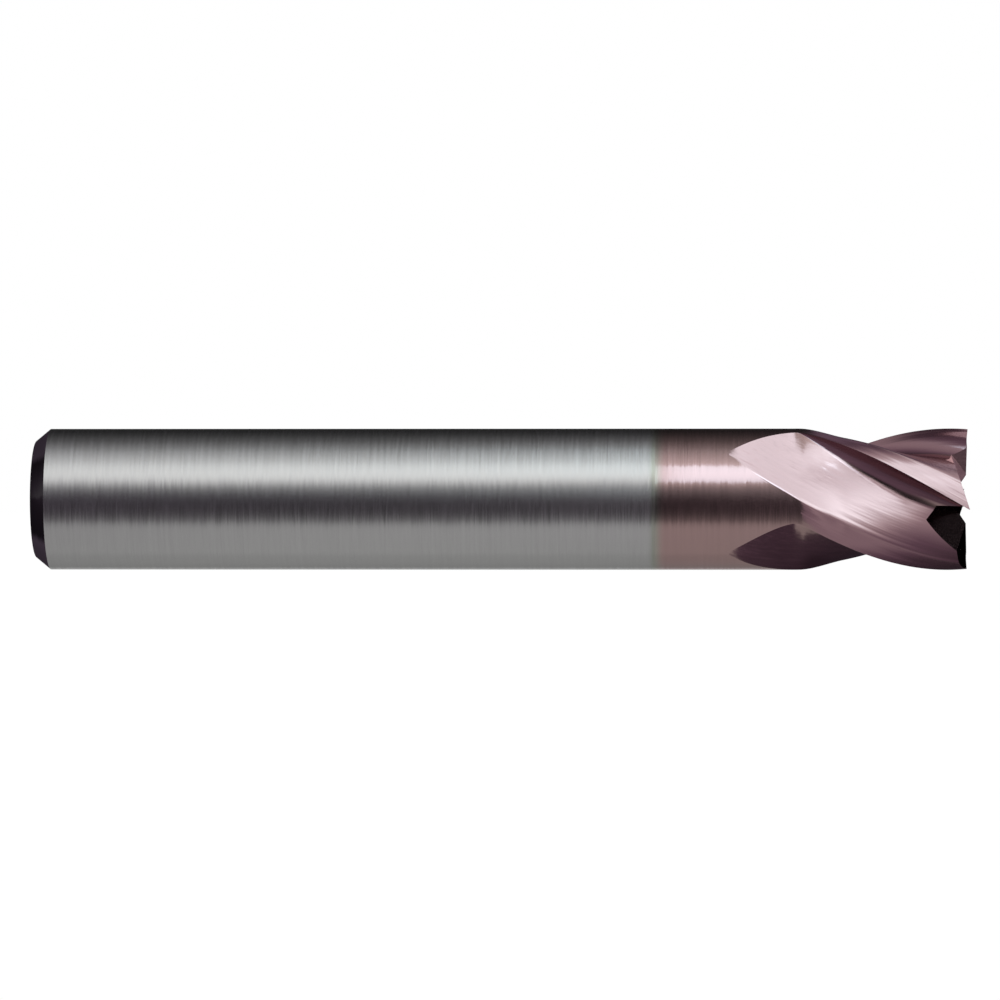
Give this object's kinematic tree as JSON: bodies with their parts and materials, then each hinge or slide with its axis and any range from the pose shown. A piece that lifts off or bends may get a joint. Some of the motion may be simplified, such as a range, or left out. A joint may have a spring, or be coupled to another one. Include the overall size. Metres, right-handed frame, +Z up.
{
  "type": "square end mill",
  "caption": "Square-end solid carbide end mill with helical flutes, a plain cylindrical shank and a coated cutting end.",
  "frame": {"origin": "centre of the flat rear face of the shank, on the tool's axis", "axes": "+X along the tool's axis from the rear face to the cutting end; +Z up; a positive turn about +X is the cutting direction"},
  "size_m": [0.066, 0.01, 0.01],
  "materials": {
    "ground_carbide": "centreless-ground cemented carbide, satin",
    "chamfered_carbide": "ground chamfer, darker",
    "coated_carbide": "thin rose-violet hard coating over ground carbide, satin metallic"
  },
  "bodies": {
    "root": {"rear_chamfer": "chamfered_carbide", "shank": "ground_carbide", "neck": "coated_carbide", "core": "coated_carbide", "tooth_1": "coated_carbide", "tooth_2": "coated_carbide", "tooth_3": "coated_carbide", "tooth_4": "coated_carbide"}
  },
  "joints": []
}
